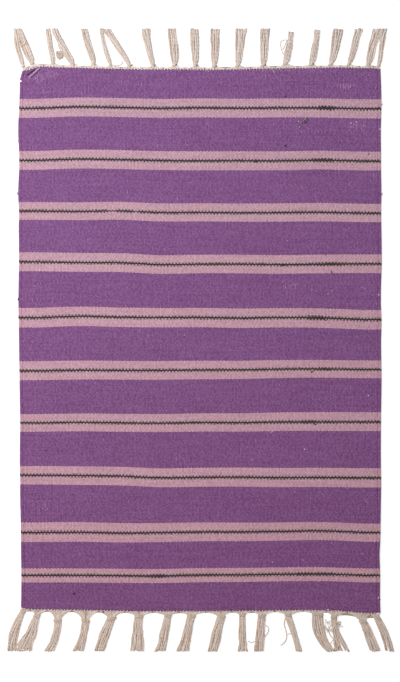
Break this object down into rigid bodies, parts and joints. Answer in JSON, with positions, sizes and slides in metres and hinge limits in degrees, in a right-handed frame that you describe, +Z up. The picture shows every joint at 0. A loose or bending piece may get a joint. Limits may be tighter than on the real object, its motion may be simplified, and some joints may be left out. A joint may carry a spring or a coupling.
{
  "type": "kilim rug",
  "caption": "Small flat-woven rug, oblong, with crosswise stripes, a ribbed weft-faced surface and a knotted tassel fringe along both short ends.",
  "frame": {"origin": "middle of the cloth's flat underside, on the floor", "axes": "+X across the rug to the right selvedge, +Y along the rug to the head, +Z up off the floor"},
  "size_m": [0.6396, 1.035, 0.005],
  "materials": {
    "purple_cotton": "matt, ribbed weft-faced weave with pink bands and dark zigzag lines",
    "cream_cotton": "matt, undyed twisted yarn"
  },
  "bodies": {
    "root": {"cloth": "purple_cotton", "fringe_head": "cream_cotton", "fringe_foot": "cream_cotton"}
  },
  "joints": []
}
